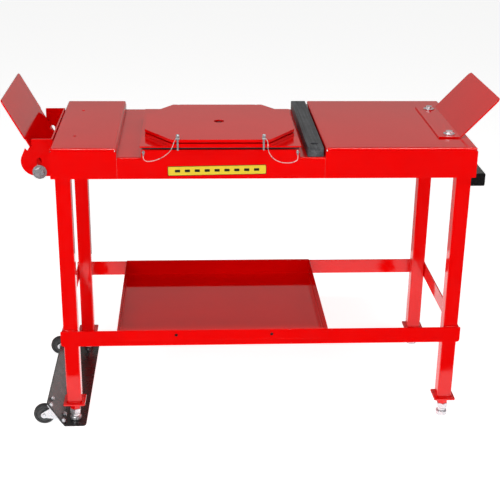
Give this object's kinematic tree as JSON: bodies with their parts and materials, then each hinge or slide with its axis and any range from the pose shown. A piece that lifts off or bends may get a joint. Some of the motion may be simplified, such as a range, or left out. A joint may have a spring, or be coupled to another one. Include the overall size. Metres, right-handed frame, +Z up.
{
  "type": "engine stand",
  "caption": "Steel bench stand for an engine, with a locking turntable in a recessed deck, two end wings, a lower tray, levelling feet, and casters and a handle for tipping it along.",
  "frame": {"origin": "on the floor, under the middle of the bounding box", "axes": "+X along the bench to the fixed wing and the handle, +Y from the turntable side to the rear, +Z up"},
  "size_m": [1.666, 0.6922, 1.1614],
  "materials": {
    "left_deck": "gloss powder coat",
    "centre_deck": "gloss powder coat",
    "right_deck": "gloss powder coat",
    "turntable_base": "gloss powder coat",
    "turntable_support_left": "gloss powder coat",
    "turntable_support_right": "gloss powder coat",
    "index_plate": "gloss powder coat",
    "wing_bracket": "gloss powder coat",
    "right_wing": "gloss powder coat",
    "tray": "gloss powder coat",
    "lower_rail_front": "gloss powder coat",
    "lower_rail_rear": "gloss powder coat",
    "lower_rail_left": "gloss powder coat",
    "lower_rail_right": "gloss powder coat",
    "leg_front_left": "gloss powder coat",
    "foot_plate_front_left": "gloss powder coat",
    "foot_nut_front_left": "bright zinc plate",
    "leg_rear_left": "gloss powder coat",
    "foot_plate_rear_left": "gloss powder coat",
    "foot_nut_rear_left": "bright zinc plate",
    "leg_front_right": "gloss powder coat",
    "foot_plate_front_right": "gloss powder coat",
    "foot_nut_front_right": "bright zinc plate",
    "leg_rear_right": "gloss powder coat",
    "foot_plate_rear_right": "gloss powder coat",
    "foot_nut_rear_right": "bright zinc plate",
    "levelling_foot_front_left": "bright zinc plate",
    "levelling_foot_rear_left": "bright zinc plate",
    "thrust_bearing": "oiled steel",
    "pivot_pin": "oiled steel",
    "tray_screw_left": "bright zinc plate",
    "tray_screw_right": "bright zinc plate",
    "right_wing_bolt_front": "bright zinc plate",
    "right_wing_bolt_rear": "bright zinc plate",
    "lanyard_anchor_left": "bright zinc plate",
    "lanyard_anchor_right": "bright zinc plate",
    "caster_fork_front": "bright zinc plate",
    "caster_fork_rear": "bright zinc plate",
    "caster_axle_front": "bright zinc plate",
    "caster_axle_rear": "bright zinc plate",
    "lanyard_left": "coated wire rope",
    "lanyard_right": "coated wire rope",
    "caster_bracket": "satin powder coat",
    "lift_handle": "satin powder coat",
    "handle_bracket_front": "satin powder coat",
    "handle_bracket_rear": "satin powder coat",
    "handle_cap_front": "satin powder coat",
    "handle_cap_rear": "satin powder coat",
    "turntable_plate": "gloss powder coat",
    "lock_pin_left": "bright zinc plate",
    "lock_pin_right": "bright zinc plate",
    "cross_bar": "satin powder coat",
    "wing_bolt_front": "bright zinc plate",
    "wing_bolt_rear": "bright zinc plate",
    "left_wing": "gloss powder coat",
    "caster_wheel_front": "matt rubber tread",
    "caster_wheel_rear": "matt rubber tread",
    "levelling_foot_front_right": "bright zinc plate",
    "levelling_foot_rear_right": "bright zinc plate"
  },
  "bodies": {
    "stand": {"left_deck": "left_deck", "centre_deck": "centre_deck", "right_deck": "right_deck", "turntable_base": "turntable_base", "turntable_support_left": "turntable_support_left", "turntable_support_right": "turntable_support_right", "index_plate": "index_plate", "wing_bracket": "wing_bracket", "right_wing": "right_wing", "tray": "tray", "lower_rail_front": "lower_rail_front", "lower_rail_rear": "lower_rail_rear", "lower_rail_left": "lower_rail_left", "lower_rail_right": "lower_rail_right", "leg_front_left": "leg_front_left", "foot_plate_front_left": "foot_plate_front_left", "foot_nut_front_left": "foot_nut_front_left", "leg_rear_left": "leg_rear_left", "foot_plate_rear_left": "foot_plate_rear_left", "foot_nut_rear_left": "foot_nut_rear_left", "leg_front_right": "leg_front_right", "foot_plate_front_right": "foot_plate_front_right", "foot_nut_front_right": "foot_nut_front_right", "leg_rear_right": "leg_rear_right", "foot_plate_rear_right": "foot_plate_rear_right", "foot_nut_rear_right": "foot_nut_rear_right", "levelling_foot_front_left": "levelling_foot_front_left", "levelling_foot_rear_left": "levelling_foot_rear_left", "thrust_bearing": "thrust_bearing", "pivot_pin": "pivot_pin", "tray_screw_left": "tray_screw_left", "tray_screw_right": "tray_screw_right", "right_wing_bolt_front": "right_wing_bolt_front", "right_wing_bolt_rear": "right_wing_bolt_rear", "lanyard_anchor_left": "lanyard_anchor_left", "lanyard_anchor_right": "lanyard_anchor_right", "caster_fork_front": "caster_fork_front", "caster_fork_rear": "caster_fork_rear", "caster_axle_front": "caster_axle_front", "caster_axle_rear": "caster_axle_rear", "lanyard_left": "lanyard_left", "lanyard_right": "lanyard_right", "caster_bracket": "caster_bracket", "lift_handle": "lift_handle", "handle_bracket_front": "handle_bracket_front", "handle_bracket_rear": "handle_bracket_rear", "handle_cap_front": "handle_cap_front", "handle_cap_rear": "handle_cap_rear"},
    "turntable": {"turntable_plate": "turntable_plate"},
    "lock_pin_left": {"lock_pin_left": "lock_pin_left"},
    "lock_pin_right": {"lock_pin_right": "lock_pin_right"},
    "cross_bar": {"cross_bar": "cross_bar"},
    "wing_bolts": {"wing_bolt_front": "wing_bolt_front", "wing_bolt_rear": "wing_bolt_rear"},
    "left_wing": {"left_wing": "left_wing"},
    "caster_wheel_front": {"caster_wheel_front": "caster_wheel_front"},
    "caster_wheel_rear": {"caster_wheel_rear": "caster_wheel_rear"},
    "levelling_foot_front_right": {"levelling_foot_front_right": "levelling_foot_front_right"},
    "levelling_foot_rear_right": {"levelling_foot_rear_right": "levelling_foot_rear_right"}
  },
  "joints": [
    {"name": "turntable_turn", "type": "hinge", "parent": "stand", "child": "turntable", "pos_m": [-0.1118, -0.0995, 1.05], "axis": [0, 0, 1], "continuous": true},
    {"name": "lock_pin_left_lift", "type": "slide", "parent": "stand", "child": "lock_pin_left", "axis": [0, 0, 1], "range_m": [0, 0.045], "deforming": ["lanyard_left"]},
    {"name": "lock_pin_right_lift", "type": "slide", "parent": "stand", "child": "lock_pin_right", "axis": [0, 0, 1], "range_m": [0, 0.045], "deforming": ["lanyard_right"]},
    {"name": "cross_bar_lift", "type": "slide", "parent": "stand", "child": "cross_bar", "axis": [0, 0, 1], "range_m": [0, 0.06]},
    {"name": "left_wing_raise", "type": "slide", "parent": "stand", "child": "wing_bolts", "axis": [0, 0, 1], "range_m": [0, 0.042]},
    {"name": "left_wing_tilt", "type": "hinge", "parent": "wing_bolts", "child": "left_wing", "pos_m": [-0.7173, 0, 0.91], "axis": [0, -1, 0], "range_deg": [-26.5, 58.5]},
    {"name": "levelling_foot_front_right_adjust", "type": "slide", "parent": "stand", "child": "levelling_foot_front_right", "axis": [0, 0, -1], "range_m": [0, 0.012]},
    {"name": "levelling_foot_rear_right_adjust", "type": "slide", "parent": "stand", "child": "levelling_foot_rear_right", "axis": [0, 0, -1], "range_m": [0, 0.012]},
    {"name": "caster_wheel_front_roll", "type": "hinge", "parent": "stand", "child": "caster_wheel_front", "pos_m": [-0.7383, -0.308, 0.0386], "axis": [0, 1, 0], "continuous": true},
    {"name": "caster_wheel_rear_roll", "type": "hinge", "parent": "stand", "child": "caster_wheel_rear", "pos_m": [-0.7383, 0.229, 0.0386], "axis": [0, 1, 0], "continuous": true}
  ]
}
